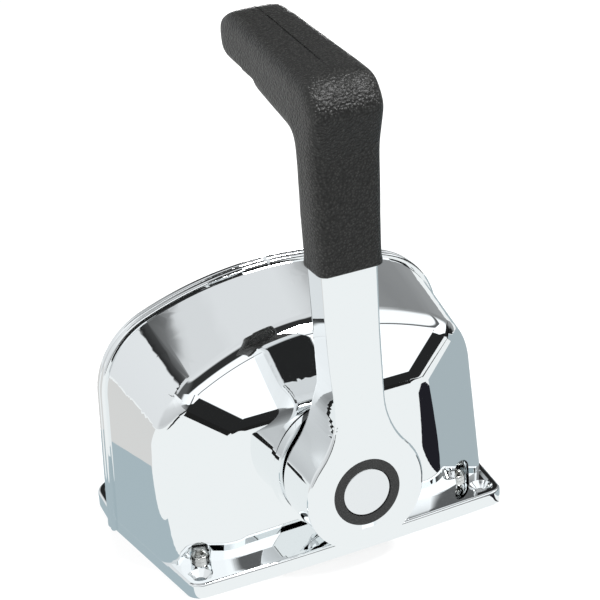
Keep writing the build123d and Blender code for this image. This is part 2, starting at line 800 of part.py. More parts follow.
def along_x(radius, x_from, x_to):
    middle_y = detent_y + detent_thickness / 2
    return Solid.make_cylinder(radius, x_to - x_from, Plane(origin=(x_from, middle_y, pivot_z), z_dir=(1, 0, 0)))


def detent_plunger():
    stem = along_x(plunger_radius, plunger_tip_x, plunger_back_x)
    return fillet(stem.edges().sort_by(Axis.X)[:1], plunger_radius * 0.6)


def detent_spring():
    spring = coil_spring(plug_x - plunger_back_x - 2 * spring_gap, detent_spring_radius, detent_spring_wire)
    return Pos(plunger_back_x + spring_gap, detent_y + detent_thickness / 2, pivot_z) * Rot(0, 90, 0) * spring


def switch_cam():
    cam = ring(0, pivot_z, cam_radius, shaft_radius + fit_gap, cam_y, cam_y + cam_thickness)
    foot_z = pivot_z - cam_radius
    return cam - block(-cam_slot_half_width, cam_slot_half_width, cam_y - past, cam_y + cam_thickness + past,
                       foot_z - past, foot_z + cam_slot_depth)


def neutral_switch():
    """Microswitch on the rear bearing plate, its button just over the cam."""
    top = switch_z + switch_height
    middle_y = cam_y + cam_thickness / 2
    body = block(-switch_half_width, switch_half_width, cam_y - past / 2, frame_rear_y, switch_z, top)
    body = fillet(body.edges().filter_by(Axis.Z), switch_corner_radius)
    body += post(0, middle_y, switch_button_radius, pivot_z + cam_radius + plunger_gap, switch_z + past)
    for x in (-terminal_pitch, 0, terminal_pitch):
        body += block(x - terminal_half_width, x + terminal_half_width,
                      middle_y, middle_y + terminal_thickness, top - past, top + terminal_length)
    return body


def cable_anchors():
    """Blocks on the base plate that grip the two cable conduits."""
    blocks = []
    for x, y in anchor_places():
        item = block(x - anchor_half_width, x + anchor_half_width, y - anchor_half_width, y + anchor_half_width,
                     plate_thickness, plate_thickness + anchor_height)
        item = fillet(item.edges().filter_by(Axis.Z), anchor_corner_radius)
        blocks.append(item - post(x, y, conduit_radius, 0, plate_thickness + anchor_height + past))
    return blocks


def shaft_ring(outer, y_from, y_to, bore_gap=fit_gap):
    """Ring that sits on the lever's shaft."""
    return ring(0, pivot_z, outer, shaft_radius + bore_gap, y_from, y_to)


def pin_ring(outer, y_from, y_to):
    """Ring that sits on the shift gear's pin."""
    return ring(shift_pivot_x, shift_pivot_z, outer, pin_radius + fit_gap, y_from, y_to)


def save_housing():
    frame_inner_y = frame_front_y + frame_thickness
    frame_back_y = frame_rear_y + frame_thickness
    tray_z = flange_height - rim_depth
    rail_top = plate_thickness + frame_thickness
    save("front_cover", front_cover())
    save("rear_cover", rear_cover())
    save("base_plate", base_plate())
    cover_screw = socket_screw(cover_screw_head, cover_screw_height, screw_radius, tray_z - screw_end_gap)
    save("cover_screws", *[Pos(x, y, tray_z + fit_gap) * cover_screw for x, y in screw_places()])
    save("mechanism_frame", mechanism_frame())
    frame_screw = socket_screw(frame_screw_head, frame_screw_height, screw_radius, rail_top - screw_end_gap)
    save("frame_screws", *[Pos(x, y, rail_top + fit_gap) * frame_screw for x, y in frame_screw_places()])
    save("front_bush", shaft_ring(bush_outer - fit_gap, seal_back_y + fit_gap, boss_back_y))
    save("rear_bush", shaft_ring(bush_outer - fit_gap, frame_rear_y, frame_back_y)
         + shaft_ring(bush_outer + bush_flange, frame_rear_y - bush_flange_thickness, frame_rear_y))
    save("shaft_seal", shaft_ring(seal_radius - joint_gap, collar_front_y + joint_gap, seal_back_y - fit_gap,
                                  side_gap))
    pin = disc(shift_pivot_x, shift_pivot_z, pin_radius, frame_front_y, frame_back_y + pin_end)
    pin += disc(shift_pivot_x, shift_pivot_z, pin_radius + pin_head_step,
                frame_front_y - pin_head_thickness, frame_front_y)
    pin -= ring(shift_pivot_x, shift_pivot_z, pin_radius + past, pin_groove_radius,
                pin_clip_y - fit_gap, pin_clip_y + pin_clip_thickness + fit_gap)
    save("pivot_pin", pin)
    save("pin_clip", open_clip(shift_pivot_x, shift_pivot_z, pin_radius + pin_clip_rim, pin_groove_radius + fit_gap,
                               pin_clip_y, pin_clip_thickness))
    save("pin_spacers", pin_ring(pin_spacer_radius, frame_inner_y, gear_y - side_gap),
         pin_ring(pin_spacer_radius, shift_arm_y + lever_thickness + side_gap, frame_rear_y))
    save("detent_bracket", detent_bracket())
    save("detent_spring", detent_spring())
    save("detent_plug", along_x(plunger_radius, plug_x, bracket_x + bracket_length))
    save("neutral_switch", neutral_switch())
    save("cable_anchors", *cable_anchors())


def save_lever():
    well_floor_y = hub_front_y + well_depth
    save("lever_arm", lever_arm())
    save("grip", grip())
    grip_screw = socket_screw(grip_screw_head, grip_screw_height, grip_screw_radius, grip_screw_length)
    save("grip_screw", along_y(grip_screw, 0, grip_back_y - grip_screw_sink + fit_gap, grip_screw_z))
    save("button_bezel", ring(0, pivot_z, bezel_radius, bezel_inner_radius, hub_front_y - bezel_proud,
                              hub_front_y + bezel_depth - fit_gap))
    save("lever_shaft", lever_shaft())
    save("shaft_key", block(-key_half_width, key_half_width, key_front_y + key_end_gap, key_back_y - key_end_gap,
                            pivot_z + key_foot, pivot_z + key_top))
    save("hub_washer", ring(0, pivot_z, well_radius - button_slack, bolt_radius + shank_slack,
                            washer_front_y, well_floor_y))
    save("hub_bolt", hub_bolt())
    save("button_spring", button_spring())
    save("shaft_clip", open_clip(0, pivot_z, shaft_radius + clip_rim, groove_radius + fit_gap, clip_y, clip_thickness))


def save_shaft_train(mesh_angle):
    """What turns with the lever inside the housing."""
    gear_back = gear_y + gear_face
    throttle_back = throttle_y + lever_thickness
    save("drive_gear", gear(0, pivot_z, drive_teeth, mesh_angle, gear_y, gear_back)
         - disc(0, pivot_z, shaft_radius + fit_gap, gear_y - past, gear_back + past))
    stops = [(frame_front_y + frame_thickness + front_spacer_gap, gear_y), (gear_back, detent_y),
             (detent_y + detent_thickness, throttle_y), (throttle_back, cam_y)]
    save("shaft_spacers", *[shaft_ring(spacer_radius, a + fit_gap, b - fit_gap) for a, b in stops])
    save("detent_wheel", detent_wheel())
    throttle = arm_plate(0, pivot_z, throttle_hub_radius, arm_end_radius, throttle_arm_angle,
                         throttle_y, throttle_back)
    bore = disc(0, pivot_z, shaft_radius + fit_gap, throttle_y - past, throttle_back + past)
    save("throttle_arm", throttle - bore)
    tip_x, tip_z = arm_tip(0, pivot_z, throttle_arm_angle)
    save("throttle_stud", disc(tip_x, tip_z, stud_radius, throttle_y - throttle_stud_length, throttle_y))
    save("switch_cam", switch_cam())


def save_shift_train(mesh_angle):
    """The shift gear with its arm, which turn together on the pin."""
    gear_back = gear_y + gear_face
    arm_back = shift_arm_y + lever_thickness
    shift = gear(shift_pivot_x, shift_pivot_z, shift_teeth, mesh_angle + pi + pi / shift_teeth, gear_y, gear_back)
    shift += disc(shift_pivot_x, shift_pivot_z, gear_boss_radius, gear_back, shift_arm_y)
    bore = disc(shift_pivot_x, shift_pivot_z, pin_radius + fit_gap, gear_y - past, arm_back + past)
    save("shift_gear", shift - bore)
    arm = arm_plate(shift_pivot_x, shift_pivot_z, shift_hub_radius, arm_end_radius, -90, shift_arm_y, arm_back)
    save("shift_arm", arm - bore)
    tip_x, tip_z = arm_tip(shift_pivot_x, shift_pivot_z, -90)
    save("shift_stud", disc(tip_x, tip_z, stud_radius, arm_back, arm_back + stud_length))


def build():
    mesh_angle = atan2(shift_pivot_z - pivot_z, shift_pivot_x)
    save_housing()
    save_lever()
    save_shaft_train(mesh_angle)
    save_shift_train(mesh_angle)
    save("warmup_button", warmup_button())
    save("detent_plunger", detent_plunger())


build()
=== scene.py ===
import bpy
import bmesh
import json
import math
from mathutils import Matrix, Vector
from mathutils.geometry import intersect_line_line_2d


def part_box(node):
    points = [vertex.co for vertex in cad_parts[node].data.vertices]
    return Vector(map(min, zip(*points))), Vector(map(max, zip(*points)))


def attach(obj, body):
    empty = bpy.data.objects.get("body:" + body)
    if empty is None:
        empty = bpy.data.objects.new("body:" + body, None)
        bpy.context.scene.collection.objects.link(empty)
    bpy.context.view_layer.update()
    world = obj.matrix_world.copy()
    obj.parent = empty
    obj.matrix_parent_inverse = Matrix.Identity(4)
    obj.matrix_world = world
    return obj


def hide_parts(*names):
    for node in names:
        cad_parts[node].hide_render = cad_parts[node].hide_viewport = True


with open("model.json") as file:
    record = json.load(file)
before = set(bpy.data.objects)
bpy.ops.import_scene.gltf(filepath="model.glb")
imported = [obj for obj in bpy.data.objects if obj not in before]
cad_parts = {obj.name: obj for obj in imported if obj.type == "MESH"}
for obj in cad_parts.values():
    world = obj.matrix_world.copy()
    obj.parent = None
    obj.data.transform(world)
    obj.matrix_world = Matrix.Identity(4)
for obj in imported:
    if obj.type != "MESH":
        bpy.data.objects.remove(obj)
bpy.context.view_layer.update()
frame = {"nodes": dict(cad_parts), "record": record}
nodes = frame["nodes"]
mm = 0.001
print("frame loaded:", len(nodes), "nodes")

# camera, at the photograph's viewing angle

cameraSetup = {
    "focal": 108.0,            # on a 36 mm sensor
    "azimuth": -23.7,
    "elevation": 24.99,
    "roll": -4.28,
    "distance": 936.0,
    "shiftRight": 0.5,
    "shiftUp": 44.7,
    "target": (0.0, -5.5, 70.0),
}


def makeCamera(setup):
    azimuth, elevation, roll = (math.radians(setup[k]) for k in ("azimuth", "elevation", "roll"))
    back = Vector((math.sin(azimuth) * math.cos(elevation), -math.cos(azimuth) * math.cos(elevation),
                   math.sin(elevation)))
    level = Vector((math.cos(azimuth), math.sin(azimuth), 0))
    rise = back.cross(level)
    right = level * math.cos(roll) + rise * math.sin(roll)
    up = rise * math.cos(roll) - level * math.sin(roll)
    place = (Vector(setup["target"]) + right * setup["shiftRight"] + up * setup["shiftUp"]
             + back * setup["distance"]) * mm
    data = bpy.data.cameras.new("camera")
    data.lens = setup["focal"]
    data.sensor_width = 36.0
    camera = bpy.data.objects.new("camera", data)
    bpy.context.scene.collection.objects.link(camera)
    camera.matrix_world = Matrix((
        (right.x, up.x, back.x, place.x),
        (right.y, up.y, back.y, place.y),
        (right.z, up.z, back.z, place.z),
        (0, 0, 0, 1)))
    bpy.context.scene.camera = camera
    return camera


makeCamera(cameraSetup)


# node helpers

def newMaterial(name):
    material = bpy.data.materials.new(name)
    material.use_nodes = True
    material.node_tree.nodes.clear()
    return material


def addNode(tree, kind, values=None, **settings):
    node = tree.nodes.new(kind)
    for key, value in settings.items():
        setattr(node, key, value)
    for key, value in (values or {}).items():
        node.inputs[key].default_value = value
    return node


def addMath(tree, operation, a, b=None, c=None):
    node = addNode(tree, "ShaderNodeMath", operation=operation)
    for index, value in enumerate((a, b, c)):
        if value is None:
            continue
        if hasattr(value, "links"):
            tree.links.new(value, node.inputs[index])
        else:
            node.inputs[index].default_value = value
    return node.outputs[0]


def newGroup(name, inputs, outputs):
    group = bpy.data.node_groups.new(name, "ShaderNodeTree")
    for label, kind, value in inputs:
        socket = group.interface.new_socket(name=label, in_out="INPUT", socket_type=kind)
        socket.default_value = value
    for label, kind in outputs:
        group.interface.new_socket(name=label, in_out="OUTPUT", socket_type=kind)
    return group, group.nodes.new("NodeGroupInput"), group.nodes.new("NodeGroupOutput")


# shader groups shared by the finishes

# soft waviness of polished metal, and faint smears in its gloss
def makePolishGroup():
    group, inside, out = newGroup("polishedMetal", [
        ("Wave Size", "NodeSocketFloat", 60.0),
        ("Wave Height", "NodeSocketFloat", 0.2),
        ("Base Roughness", "NodeSocketFloat", 0.03),
        ("Smear", "NodeSocketFloat", 0.04),
    ], [("Roughness", "NodeSocketFloat"), ("Normal", "NodeSocketVector")])
    link = group.links.new
    place = addNode(group, "ShaderNodeTexCoord")
    wave = addNode(group, "ShaderNodeTexNoise", {"Detail": 1.0, "Roughness": 0.4})
    link(place.outputs["Object"], wave.inputs["Vector"])
    link(inside.outputs["Wave Size"], wave.inputs["Scale"])
    bump = addNode(group, "ShaderNodeBump", {"Distance": 0.001})
    link(inside.outputs["Wave Height"], bump.inputs["Strength"])
    link(wave.outputs["Fac"], bump.inputs["Height"])
    link(bump.outputs["Normal"], out.inputs["Normal"])
    smear = addNode(group, "ShaderNodeTexNoise", {"Scale": 95.0, "Detail": 5.0, "Roughness": 0.6})
    link(place.outputs["Object"], smear.inputs["Vector"])
    patch = addNode(group, "ShaderNodeMapRange",
                    {"From Min": 0.45, "From Max": 0.8, "To Min": 0.0, "To Max": 1.0})
    link(smear.outputs["Fac"], patch.inputs["Value"])
    amount = addMath(group, "MULTIPLY_ADD", patch.outputs["Result"], inside.outputs["Smear"],
                     inside.outputs["Base Roughness"])
    link(amount, out.inputs["Roughness"])
    return group


# pebbled grain of a moulded grip, or the fine grain of cast metal, with worn high spots
def makeGrainGroup():
    group, inside, out = newGroup("mouldedGrain", [
        ("Grain Size", "NodeSocketFloat", 900.0),
        ("Grain Height", "NodeSocketFloat", 0.5),
        ("Base Roughness", "NodeSocketFloat", 0.45),
    ], [("Roughness", "NodeSocketFloat"), ("Normal", "NodeSocketVector"), ("High Spots", "NodeSocketFloat")])
    link = group.links.new
    place = addNode(group, "ShaderNodeTexCoord")
    pebble = addNode(group, "ShaderNodeTexVoronoi", feature="SMOOTH_F1")
    pebble.inputs["Smoothness"].default_value = 0.6
    link(place.outputs["Object"], pebble.inputs["Vector"])
    link(inside.outputs["Grain Size"], pebble.inputs["Scale"])
    uneven = addNode(group, "ShaderNodeTexNoise", {"Detail": 4.0, "Roughness": 0.6})
    link(place.outputs["Object"], uneven.inputs["Vector"])
    link(inside.outputs["Grain Size"], uneven.inputs["Scale"])
    rounded = addMath(group, "SUBTRACT", 1.0, pebble.outputs["Distance"])
    height = addMath(group, "MULTIPLY_ADD", uneven.outputs["Fac"], 0.45, rounded)
    bump = addNode(group, "ShaderNodeBump", {"Distance": 0.0006})
    link(inside.outputs["Grain Height"], bump.inputs["Strength"])
    link(height, bump.inputs["Height"])
    link(bump.outputs["Normal"], out.inputs["Normal"])
    high = addNode(group, "ShaderNodeMapRange", {"From Min": 0.75, "From Max": 1.25})
    link(height, high.inputs["Value"])
    link(high.outputs["Result"], out.inputs["High Spots"])
    rough = addMath(group, "MULTIPLY_ADD", high.outputs["Result"], -0.1, inside.outputs["Base Roughness"])
    link(rough, out.inputs["Roughness"])
    return group


polishGroup = makePolishGroup()
grainGroup = makeGrainGroup()


def placeGroup(tree, group, values):
    node = tree.nodes.new("ShaderNodeGroup")
    node.node_tree = group
    for key, value in values.items():
        node.inputs[key].default_value = value
    return node


def polishedFinish(name, colour, roughness, smear, waveHeight, waveSize=45.0, coat=0.0):
    material = newMaterial(name)
    tree = material.node_tree
    shader = addNode(tree, "ShaderNodeBsdfPrincipled",
                     {"Base Color": (*colour, 1), "Metallic": 1.0, "Coat Weight": coat})
    polish = placeGroup(tree, polishGroup, {"Wave Size": waveSize, "Wave Height": waveHeight,
                                            "Base Roughness": roughness, "Smear": smear})
    tree.links.new(polish.outputs["Roughness"], shader.inputs["Roughness"])
    tree.links.new(polish.outputs["Normal"], shader.inputs["Normal"])
    out = addNode(tree, "ShaderNodeOutputMaterial")
    tree.links.new(shader.outputs[0], out.inputs["Surface"])
    return material


def grainedFinish(name, colour, highColour, roughness, grainSize, grainHeight, metallic=0.0, specular=0.5):
    material = newMaterial(name)
    tree = material.node_tree
    shader = addNode(tree, "ShaderNodeBsdfPrincipled",
                     {"Base Color": (*colour, 1), "Metallic": metallic, "Specular IOR Level": specular})
    grain = placeGroup(tree, grainGroup, {"Grain Size": grainSize, "Grain Height": grainHeight,
                                          "Base Roughness": roughness})
    mix = addNode(tree, "ShaderNodeMix", data_type="RGBA")
    mix.inputs[6].default_value = (*colour, 1)
    mix.inputs[7].default_value = (*highColour, 1)
    tree.links.new(grain.outputs["High Spots"], mix.inputs[0])
    tree.links.new(mix.outputs[2], shader.inputs["Base Color"])
    tree.links.new(grain.outputs["Roughness"], shader.inputs["Roughness"])
    tree.links.new(grain.outputs["Normal"], shader.inputs["Normal"])
    out = addNode(tree, "ShaderNodeOutputMaterial")
    tree.links.new(shader.outputs[0], out.inputs["Surface"])
    return material


finishes = {
    "chrome_casting": polishedFinish("chromeCasting", (0.93, 0.945, 0.95), 0.02, 0.02, 0.03),
    "chrome_button": polishedFinish("chromeButton", (0.88, 0.89, 0.9), 0.09, 0.03, 0.02),
    "black_grip": grainedFinish("blackGrip", (0.010, 0.010, 0.0095), (0.032, 0.032, 0.03), 0.40, 830.0, 1.0,
                                specular=0.32),
    "black_bezel": grainedFinish("blackBezel", (0.012, 0.012, 0.012), (0.02, 0.02, 0.02), 0.42, 2600.0, 0.12),
    "stainless": polishedFinish("stainless", (0.62, 0.62, 0.6), 0.2, 0.12, 0.02),
    "cast_aluminium": grainedFinish("castAluminium", (0.5, 0.51, 0.52), (0.62, 0.63, 0.64), 0.5, 700.0, 0.3,
                                    metallic=0.9),
    "bronze": polishedFinish("bronze", (0.62, 0.4, 0.2), 0.28, 0.1, 0.02),
    "grey_nylon": grainedFinish("greyNylon", (0.28, 0.29, 0.3), (0.36, 0.37, 0.38), 0.5, 900.0, 0.15),
    "black_rubber": grainedFinish("blackRubber", (0.015, 0.015, 0.015), (0.03, 0.03, 0.03), 0.65, 900.0, 0.2),
    "switch_plastic": grainedFinish("switchPlastic", (0.03, 0.03, 0.035), (0.06, 0.06, 0.065), 0.45, 1200.0, 0.15),
    "steel": polishedFinish("steel", (0.5, 0.5, 0.5), 0.3, 0.15, 0.03),
}
slotOf = {part["node"]: part["material_slot"] for part in frame["record"]["subparts"]}
print("finishes made:", len(finishes))


# the CAD nodes take their finishes

def dress(obj, slotName):
    obj.data.materials.clear()
    obj.data.materials.append(finishes[slotName])


for nodeName, nodeObject in nodes.items():
    dress(nodeObject, slotOf[nodeName])


# copy of a CAD node with its loose triangles merged, so that polished faces shade without facets
def mergedCopy(nodeName, pieceName):
    mesh = bpy.data.meshes.new(pieceName)
    bm = bmesh.new()
    bm.from_mesh(nodes[nodeName].data)
    bmesh.ops.remove_doubles(bm, verts=bm.verts, dist=0.002 * mm)
    bm.to_mesh(mesh)
    bm.free()
    piece = bpy.data.objects.new(pieceName, mesh)
    bpy.context.scene.collection.objects.link(piece)
    return piece


# gives a piece its modifiers' result as its own mesh
def applyModifiers(piece):
    bpy.context.view_layer.update()
    solid = piece.evaluated_get(bpy.context.evaluated_depsgraph_get())
    mesh = bpy.data.meshes.new_from_object(solid)
    piece.modifiers.clear()
    piece.data = mesh
    mesh.name = piece.name


def newPiece(name, bm):
    mesh = bpy.data.meshes.new(name)
    bm.to_mesh(mesh)
    bm.free()
    piece = bpy.data.objects.new(name, mesh)
    bpy.context.scene.collection.objects.link(piece)
    return piece


def triangulate(piece):
    bm = bmesh.new()
    bm.from_mesh(piece.data)
    bmesh.ops.triangulate(bm, faces=bm.faces[:], quad_method="BEAUTY", ngon_method="EAR_CLIP")
    bm.to_mesh(piece.data)
    bm.free()


def shadeSmooth(piece, sharpAngle):
    bm = bmesh.new()
    bm.from_mesh(piece.data)
    for edge in bm.edges:
        edge.smooth = len(edge.link_faces) == 2 and edge.calc_face_angle(0.0) < math.radians(sharpAngle)
    for face in bm.faces:
        face.smooth = True
    bm.to_mesh(piece.data)
    bm.free()
    weighted = piece.modifiers.new("evenNormals", "WEIGHTED_NORMAL")
    weighted.keep_sharp = True
    weighted.weight = 100
    weighted.mode = "FACE_AREA"


def standIn(piece, nodeName, body):
    dress(piece, slotOf[nodeName])
    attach(piece, body)
    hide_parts(nodeName)


def combine(piece, other, operation):
    cut = piece.modifiers.new("combine", "BOOLEAN")
    cut.operation = operation
    cut.solver = "MANIFOLD"
    cut.object = other
    applyModifiers(piece)


# front casting: the CAD casting, with its outside dressed down to a buffed form with broad soft edges
frontForm = {
    "jointY": 26.0, "frontY": -62.5,
    "halfWidth": (100.0, 88.5), "height": (129.5, 101.5), "crown": (190.0, 235.0), "shoulder": (42.0, 30.0),
    "sideLean": 0.045,
    "backY": 24.0, "shoulderSteps": 30, "crownSteps": 44,
    "stations": 5, "stationsTo": -11.0,        # none within reach of the softened rim
    "planes": {
        "middle": ((0, -45.1, 8), (0, -1, 0.038)),
        "leftWing": ((-59.6, -45.1, 8), (-0.333, -1, 0.077)),
        "rightWing": ((59.6, -45.1, 8), (0.333, -1, 0.077)),
        "brow": ((0, -42.48, 77), (0, -1, 0.52)),
    },
    "setback": {"rim": 7.2, "wing": 6.0, "browFoot": 4.6, "browSide": 7.2},
    "segments": 14,
    "skin": -0.02,                             # depth that is dressed off the flat faces
    "reach": 0.3,                              # how far off the faces the low part of the cutter reaches
    "footZ": 6.6, "flangeZ": 8.02,             # the tray's floor, and the top of the flange's rim
    "beadY": 21.9,                             # the bead at the joint is left alone behind this
    "collar": (44.0, 34.9),                    # height and radius of the collar that is left alone
}


def archSection(y, grow):
    form = frontForm
    share = (form["jointY"] - y) / (form["jointY"] - form["frontY"])
    halfWidth, height, crown, shoulder = (
        form[k][0] + (form[k][1] - form[k][0]) * share + grow for k in ("halfWidth", "height", "crown", "shoulder"))
    lean = form["sideLean"]
    crownZ = height - crown
    inner = halfWidth - shoulder * math.hypot(1, lean)
    mid = lean * inner + crownZ
    square = 1 + lean * lean
    z = (mid + math.sqrt(mid * mid - square * (inner ** 2 + crownZ ** 2 - (crown - shoulder) ** 2))) / square
    x = inner - lean * z
    low, high = math.atan(lean), math.atan2(z - crownZ, x)
    half = [(halfWidth + lean * grow, -grow)]
    for i in range(form["shoulderSteps"] + 1):
        turn = low + (high - low) * i / form["shoulderSteps"]
        half.append((x + shoulder * math.cos(turn), z + shoulder * math.sin(turn)))
    for i in range(1, form["crownSteps"] // 2 + 1):
        turn = high + (math.pi / 2 - high) * i / (form["crownSteps"] // 2)
        half.append((crown * math.cos(turn), crownZ + crown * math.sin(turn)))
    return half + [(-px, pz) for px, pz in half[-2::-1]]


def facetedForm(name, grow):
    form = frontForm
    bm = bmesh.new()
    back = form["backY"] + grow
    step = (form["stationsTo"] - back) / form["stations"]
    places = [back + step * k for k in range(form["stations"] + 1)] + [form["frontY"]]
    rings = [[bm.verts.new(Vector((x, y, z)) * mm) for x, z in archSection(y, grow)] for y in places]
    count = len(rings[0])
    for first, second in zip(rings, rings[1:]):
        for i in range(count):
            j = (i + 1) % count
            bm.faces.new((first[i], first[j], second[j], second[i]))
    bm.faces.new(rings[0])
    bm.faces.new(rings[-1][::-1])
    for place, normal in form["planes"].values():
        normal = Vector(normal).normalized()
        bmesh.ops.bisect_plane(bm, geom=bm.verts[:] + bm.edges[:] + bm.faces[:], dist=1e-7,
                               plane_co=(Vector(place) + normal * grow) * mm, plane_no=normal, clear_outer=True)
        bmesh.ops.holes_fill(bm, edges=[edge for edge in bm.edges if edge.is_boundary], sides=0)
    bmesh.ops.recalc_face_normals(bm, faces=bm.faces)
    return newPiece(name, bm)


def facetOf(face):
    for name, (place, normal) in frontForm["planes"].items():
        if face.normal.dot(Vector(normal).normalized()) > 0.99995:
            return name
    return "end" if abs(face.normal.y) > 0.999 or face.normal.z < -0.99 else "band"


def softenForm(piece):
    setback = frontForm["setback"]
    widest = max(setback.values())
    bm = bmesh.new()
    bm.from_mesh(piece.data)
    bm.normal_update()
    weight = bm.edges.layers.float.new("bevel_weight_edge")
    for edge in bm.edges:
        kinds = sorted(facetOf(face) for face in edge.link_faces)
        if kinds[0] == kinds[1] or "end" in kinds:
            continue
        if "band" in kinds:
            edge[weight] = setback["rim"] / widest
        elif "brow" in kinds:
            edge[weight] = setback["browFoot" if "middle" in kinds else "browSide"] / widest
        else:
            edge[weight] = setback["wing"] / widest
    bm.to_mesh(piece.data)
    bm.free()
    soft = piece.modifiers.new("soften", "BEVEL")
    soft.limit_method = "WEIGHT"
    soft.offset_type = "OFFSET"
    soft.width = widest * mm
    soft.segments = frontForm["segments"]
    soft.profile = 0.5
    soft.use_clamp_overlap = False
    applyModifiers(piece)
    untangle(piece)


# where the softened edges met at a corner, the outline of a flat face may cross itself: the loop closes up
def untangle(piece):
    bm = bmesh.new()
    bm.from_mesh(piece.data)
    bm.normal_update()
    groups = []
    for face in bm.faces:
        count = len(face.verts)
        if count < 12:
            continue
        turn = face.normal.to_track_quat("Z", "Y").inverted()
        flat = [(turn @ vert.co).xy for vert in face.verts]
        i = 0
        while i < count:
            for j in range(min(i + count // 3, i + count - 2), i + 1, -1):
                met = intersect_line_line_2d(flat[i], flat[(i + 1) % count], flat[j % count], flat[(j + 1) % count])
                if met:
                    first, second = face.verts[i], face.verts[(i + 1) % count]
                    share = (met - flat[i]).length / max((flat[(i + 1) % count] - flat[i]).length, 1e-9)
                    groups.append(([face.verts[k % count] for k in range(i + 1, j + 1)],
                                   first.co.lerp(second.co, share)))
                    i = j
                    break
            i += 1
    for verts, place in groups:
        bmesh.ops.pointmerge(bm, verts=verts, merge_co=place)
    bmesh.ops.dissolve_degenerate(bm, edges=bm.edges, dist=0.001 * mm)
    bm.to_mesh(piece.data)
    bm.free()
    print("corners closed up:", len(groups))


def makeCutter():
    form = frontForm
    cutter = facetedForm("cutter", form["reach"])
    bm = bmesh.new()
    bm.from_mesh(cutter.data)
    for place, normal in (((0, 0, form["footZ"]), (0, 0, -1)), ((0, form["beadY"], 0), (0, 1, 0))):
        bmesh.ops.bisect_plane(bm, geom=bm.verts[:] + bm.edges[:] + bm.faces[:], dist=1e-7,
                               plane_co=Vector(place) * mm, plane_no=normal, clear_outer=True)
        bmesh.ops.holes_fill(bm, edges=[edge for edge in bm.edges if edge.is_boundary], sides=0)
    bmesh.ops.recalc_face_normals(bm, faces=bm.faces)
    bm.to_mesh(cutter.data)
    bm.free()
    size, low, high = 240.0, form["flangeZ"], 150.0
    bm = bmesh.new()
    middle = Vector((0, form["beadY"] - size / 2, (low + high) / 2)) * mm
    bmesh.ops.create_cube(bm, size=1.0, matrix=Matrix.Translation(middle) @ Matrix.Diagonal(
        (size * mm, size * mm, (high - low) * mm, 1)))
    block = newPiece("block", bm)
    height, radius = form["collar"]
    bm = bmesh.new()
    bmesh.ops.create_cone(bm, cap_ends=True, segments=96, radius1=radius * mm, radius2=radius * mm, depth=0.06,
                          matrix=Matrix.Translation((0, -0.05, height * mm)) @ Matrix.Rotation(math.pi / 2, 4, "X"))
    guard = newPiece("collarGuard", bm)
    hull = facetedForm("softHull", form["skin"])
    softenForm(hull)
    for helper in (cutter, hull):
        triangulate(helper)
    combine(cutter, block, "UNION")
    combine(cutter, hull, "DIFFERENCE")
    combine(cutter, guard, "DIFFERENCE")
    for helper in (block, guard, hull):
        bpy.data.objects.remove(helper)
    return cutter


beadForm = {
    "proud": 1.5, "sunk": -1.8, "corner": 1.45, "cornerSteps": 7,
    "footZ": 0.6,
    "frontY": (21.93, 25.96), "rearY": (26.04, 30.07),
    "notch": (1.6, 128.9, 130.9, 134.0),       # half width at the bead's top, bottom, bead's top, past it
}


# rolled bead along the joint, swept round the arch over the CAD bead
def makeBead(name, yFrom, yTo):
    form = beadForm
    profile = [(yFrom, form["sunk"])]
    for middle, low in ((yFrom + form["corner"], math.pi), (yTo - form["corner"], math.pi / 2)):
        for i in range(form["cornerSteps"] + 1):
            turn = low - math.pi / 2 * i / form["cornerSteps"]
            profile.append((middle + form["corner"] * math.cos(turn),
                            form["proud"] - form["corner"] + form["corner"] * math.sin(turn)))
    profile.append((yTo, form["sunk"]))
    bm = bmesh.new()
    rings = [[bm.verts.new(Vector((x, y, z)) * mm) for x, z in archSection(frontForm["jointY"], grow)]
             for y, grow in profile]
    for first, second in zip(rings, rings[1:] + rings[:1]):
        for a, b, c, d in zip(first, first[1:], second[1:], second):
            bm.faces.new((a, b, c, d))
    bm.faces.new([ring[0] for ring in rings])
    bm.faces.new([ring[-1] for ring in rings][::-1])
    bmesh.ops.bisect_plane(bm, geom=bm.verts[:] + bm.edges[:] + bm.faces[:], dist=1e-7,
                           plane_co=(0, 0, form["footZ"] * mm), plane_no=(0, 0, -1), clear_outer=True)
    bmesh.ops.holes_fill(bm, edges=[edge for edge in bm.edges if edge.is_boundary], sides=0)
    bmesh.ops.recalc_face_normals(bm, faces=bm.faces)
    bead = newPiece(name, bm)
    triangulate(bead)
    return bead


def addBead(casting, yRange):
    bead = makeBead("bead", *yRange)
    combine(casting, bead, "UNION")
    bpy.data.objects.remove(bead)
    half, bottom, top, past = beadForm["notch"]
    wide = half * (past - bottom) / (top - bottom)
    bm = bmesh.new()
    for y in (yRange[0] - 3.0, yRange[1] + 3.0):
        for x, z in ((0, bottom), (wide, past), (-wide, past)):
            bm.verts.new(Vector((x, y, z)) * mm)
    bmesh.ops.convex_hull(bm, input=bm.verts)
    bmesh.ops.recalc_face_normals(bm, faces=bm.faces)
    vee = newPiece("vee", bm)
    triangulate(vee)
    combine(casting, vee, "DIFFERENCE")
    bpy.data.objects.remove(vee)


def makeFrontCasting():
    casting = mergedCopy("front_cover", "frontCasting")
    cutter = makeCutter()
    combine(casting, cutter, "DIFFERENCE")
    bpy.data.objects.remove(cutter)
    addBead(casting, beadForm["frontY"])
    shadeSmooth(casting, 32.0)
    standIn(casting, "front_cover", "housing")


makeFrontCasting()
print("front casting made")

